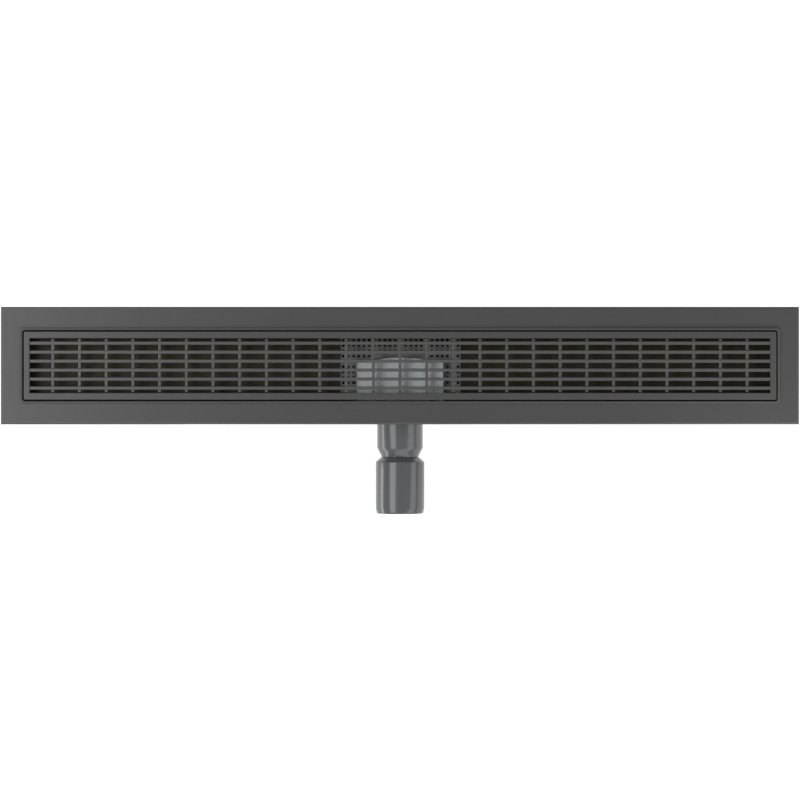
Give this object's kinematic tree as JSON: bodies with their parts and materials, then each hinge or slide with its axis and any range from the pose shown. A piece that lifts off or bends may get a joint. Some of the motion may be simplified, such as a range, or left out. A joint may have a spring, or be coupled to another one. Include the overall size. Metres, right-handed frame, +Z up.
{
  "type": "linear shower channel drain",
  "caption": "Slim linear shower channel with a flat membrane flange, slatted drop-in grate, strainer, lift-out water trap, side outlet spigot and levelling feet.",
  "frame": {"origin": "middle of the rim's top plane, level with the finished floor", "axes": "+X along the channel, the outlet leaves towards -Y, +Z up"},
  "size_m": [0.8, 0.209, 0.082],
  "materials": {
    "channel_coating": "satin powder coat",
    "grate_coating": "satin powder coat",
    "strainer_coating": "satin",
    "insert_plastic": "moulded, fine matt",
    "pipe_plastic": "moulded, semi-gloss",
    "seal_rubber": "matt",
    "foot_plastic": "moulded",
    "zinc_steel": "zinc plated"
  },
  "bodies": {
    "drain": {"channel_body": "channel_coating", "cross_bar_1": "grate_coating", "cross_bar_10": "grate_coating", "cross_bar_11": "grate_coating", "cross_bar_12": "grate_coating", "cross_bar_13": "grate_coating", "cross_bar_14": "grate_coating", "cross_bar_15": "grate_coating", "cross_bar_16": "grate_coating", "cross_bar_17": "grate_coating", "cross_bar_18": "grate_coating", "cross_bar_19": "grate_coating", "cross_bar_2": "grate_coating", "cross_bar_20": "grate_coating", "cross_bar_21": "grate_coating", "cross_bar_22": "grate_coating", "cross_bar_23": "grate_coating", "cross_bar_24": "grate_coating", "cross_bar_25": "grate_coating", "cross_bar_26": "grate_coating", "cross_bar_27": "grate_coating", "cross_bar_3": "grate_coating", "cross_bar_4": "grate_coating", "cross_bar_5": "grate_coating", "cross_bar_6": "grate_coating", "cross_bar_7": "grate_coating", "cross_bar_8": "grate_coating", "cross_bar_9": "grate_coating", "foot_lock_nuts": "zinc_steel", "grate_frame": "grate_coating", "insert_seal": "seal_rubber", "levelling_bracket_left": "zinc_steel", "levelling_bracket_right": "zinc_steel", "outlet_seal": "seal_rubber", "outlet_spigot": "pipe_plastic", "slat_1": "grate_coating", "slat_2": "grate_coating", "slat_3": "grate_coating", "slat_4": "grate_coating", "slat_5": "grate_coating", "slat_6": "grate_coating", "strainer_plate": "strainer_coating", "trap_body": "pipe_plastic", "trap_gasket": "seal_rubber", "trap_insert": "insert_plastic", "trap_nuts": "zinc_steel", "trap_studs": "zinc_steel"},
    "foot_1": {"foot_stud_1": "zinc_steel", "foot_pad_1": "foot_plastic"},
    "foot_2": {"foot_stud_2": "zinc_steel", "foot_pad_2": "foot_plastic"},
    "foot_3": {"foot_stud_3": "zinc_steel", "foot_pad_3": "foot_plastic"},
    "foot_4": {"foot_stud_4": "zinc_steel", "foot_pad_4": "foot_plastic"}
  },
  "joints": [
    {"name": "foot_1_height", "type": "slide", "parent": "drain", "child": "foot_1", "axis": [0, 0, -1], "range_m": [-0.004, 0.014]},
    {"name": "foot_2_height", "type": "slide", "parent": "drain", "child": "foot_2", "axis": [0, 0, -1], "range_m": [-0.004, 0.014]},
    {"name": "foot_3_height", "type": "slide", "parent": "drain", "child": "foot_3", "axis": [0, 0, -1], "range_m": [-0.004, 0.014]},
    {"name": "foot_4_height", "type": "slide", "parent": "drain", "child": "foot_4", "axis": [0, 0, -1], "range_m": [-0.004, 0.014]}
  ]
}
